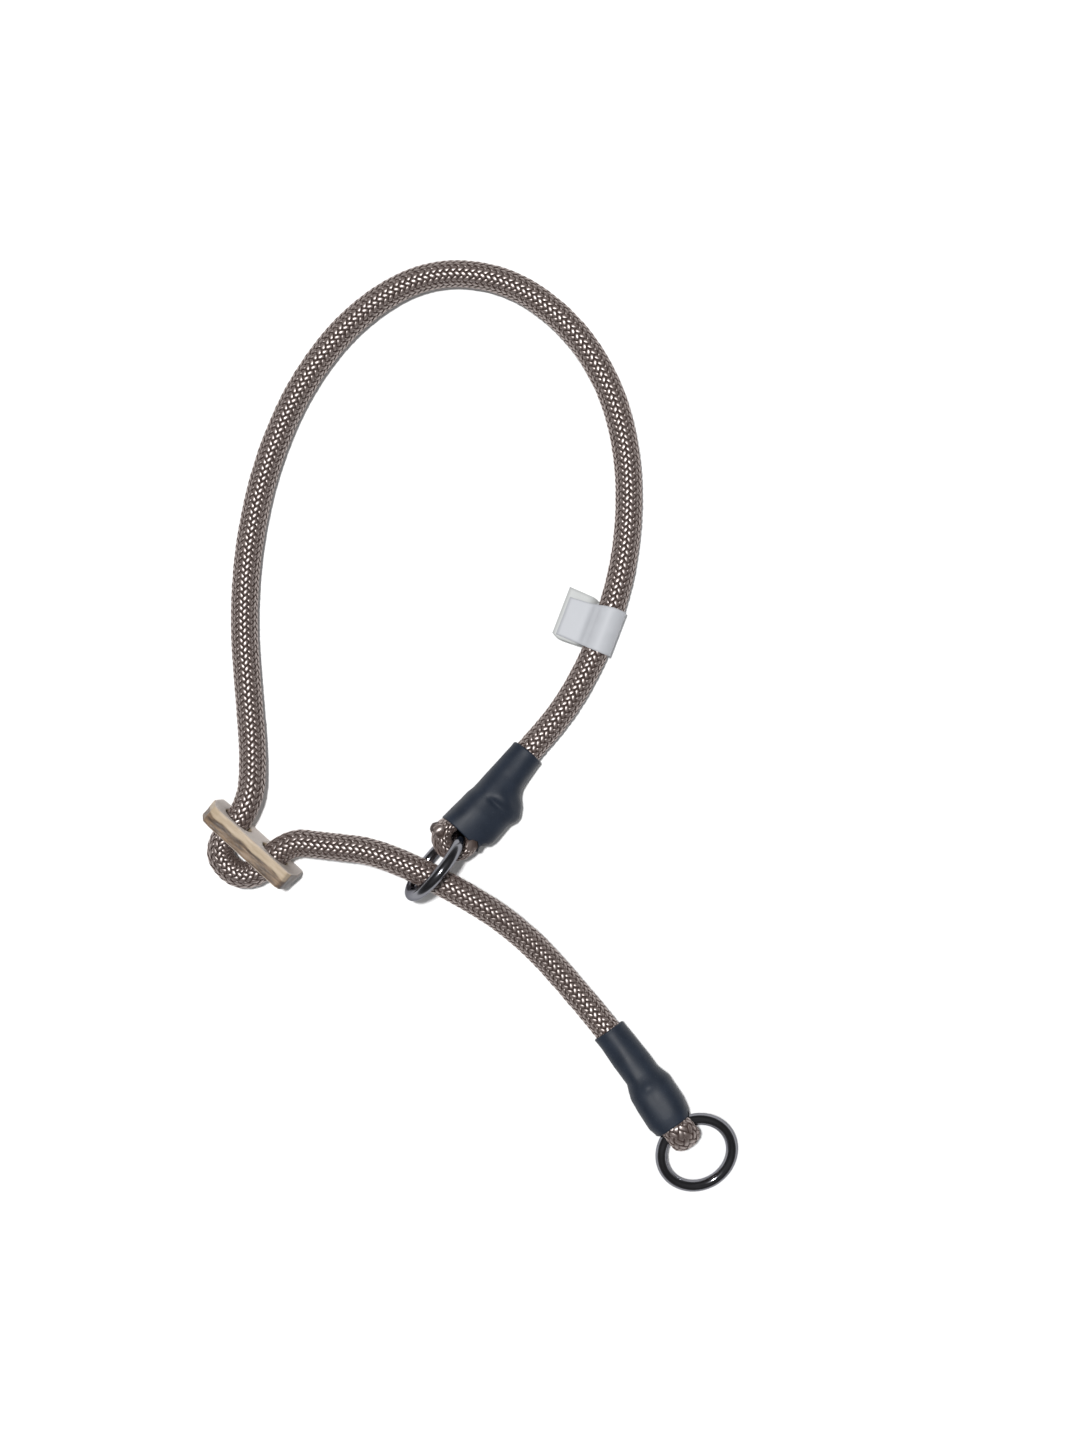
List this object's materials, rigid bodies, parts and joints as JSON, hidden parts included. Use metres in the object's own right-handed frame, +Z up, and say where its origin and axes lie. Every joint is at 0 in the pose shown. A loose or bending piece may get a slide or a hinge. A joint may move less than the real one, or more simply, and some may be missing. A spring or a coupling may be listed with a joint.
{
  "type": "rope slip collar",
  "caption": "Slip collar of braided cord with a sliding ring, a lead ring, two sleeved eyes and an antler stop; the noose tightens as the ring slides.",
  "frame": {"origin": "middle of the object's box, on the surface that the collar lies on", "axes": "+Z up from that surface, +Y along the length from the lead ring to the top of the neck loop, +X across"},
  "size_m": [0.1571, 0.2763, 0.0246],
  "materials": {
    "braided_cord": "taupe brown braided synthetic cord with bright yarn highlights",
    "ring_metal": "polished black nickel",
    "shrink_sleeve": "soft matte blue-black shrunk tube",
    "whipping_thread": "waxed dark thread",
    "antler": "sawn and tumbled antler, pale core with brown bark",
    "tag_film": "satin white translucent film"
  },
  "bodies": {
    "cord": {"rope_neck_loop": "braided_cord", "rope_stop_bight": "braided_cord", "rope_tail": "braided_cord", "rope_lead_eye": "braided_cord", "lead_eye_sleeve": "shrink_sleeve", "lead_eye_whipping": "whipping_thread"},
    "sliding_eye": {"rope_sliding_eye": "braided_cord", "sliding_eye_sleeve": "shrink_sleeve", "sliding_eye_whipping": "whipping_thread"},
    "sliding_ring": {"sliding_ring": "ring_metal"},
    "lead_ring": {"lead_ring": "ring_metal"},
    "antler_stop": {"antler_stop": "antler"},
    "price_tag": {"price_tag": "tag_film"}
  },
  "joints": [
    {"name": "noose_slip", "type": "slide", "parent": "cord", "child": "sliding_eye", "axis": [0.9057, -0.424, 0], "range_m": [-0.006, 0.0135], "deforming": ["rope_neck_loop"]},
    {"name": "sliding_ring_turn", "type": "hinge", "parent": "sliding_eye", "child": "sliding_ring", "pos_m": [-0.01046, -0.03969, 0.01235], "axis": [0.7486, -0.6237, -0.2249], "continuous": true},
    {"name": "lead_ring_swing", "type": "hinge", "parent": "cord", "child": "lead_ring", "pos_m": [0.0608, -0.1166, 0.0085], "axis": [-0.809, -0.5878, 0], "range_deg": [0, 115]},
    {"name": "stop_shift", "type": "slide", "parent": "cord", "child": "antler_stop", "axis": [-0.6691, -0.7358, -0.1045], "range_m": [-0.002, 0.001]},
    {"name": "tag_turn", "type": "hinge", "parent": "sliding_eye", "child": "price_tag", "pos_m": [0.0394, 0.02975, 0.0046], "axis": [0.3579, 0.9338, 0], "range_deg": [-20, 180]}
  ]
}
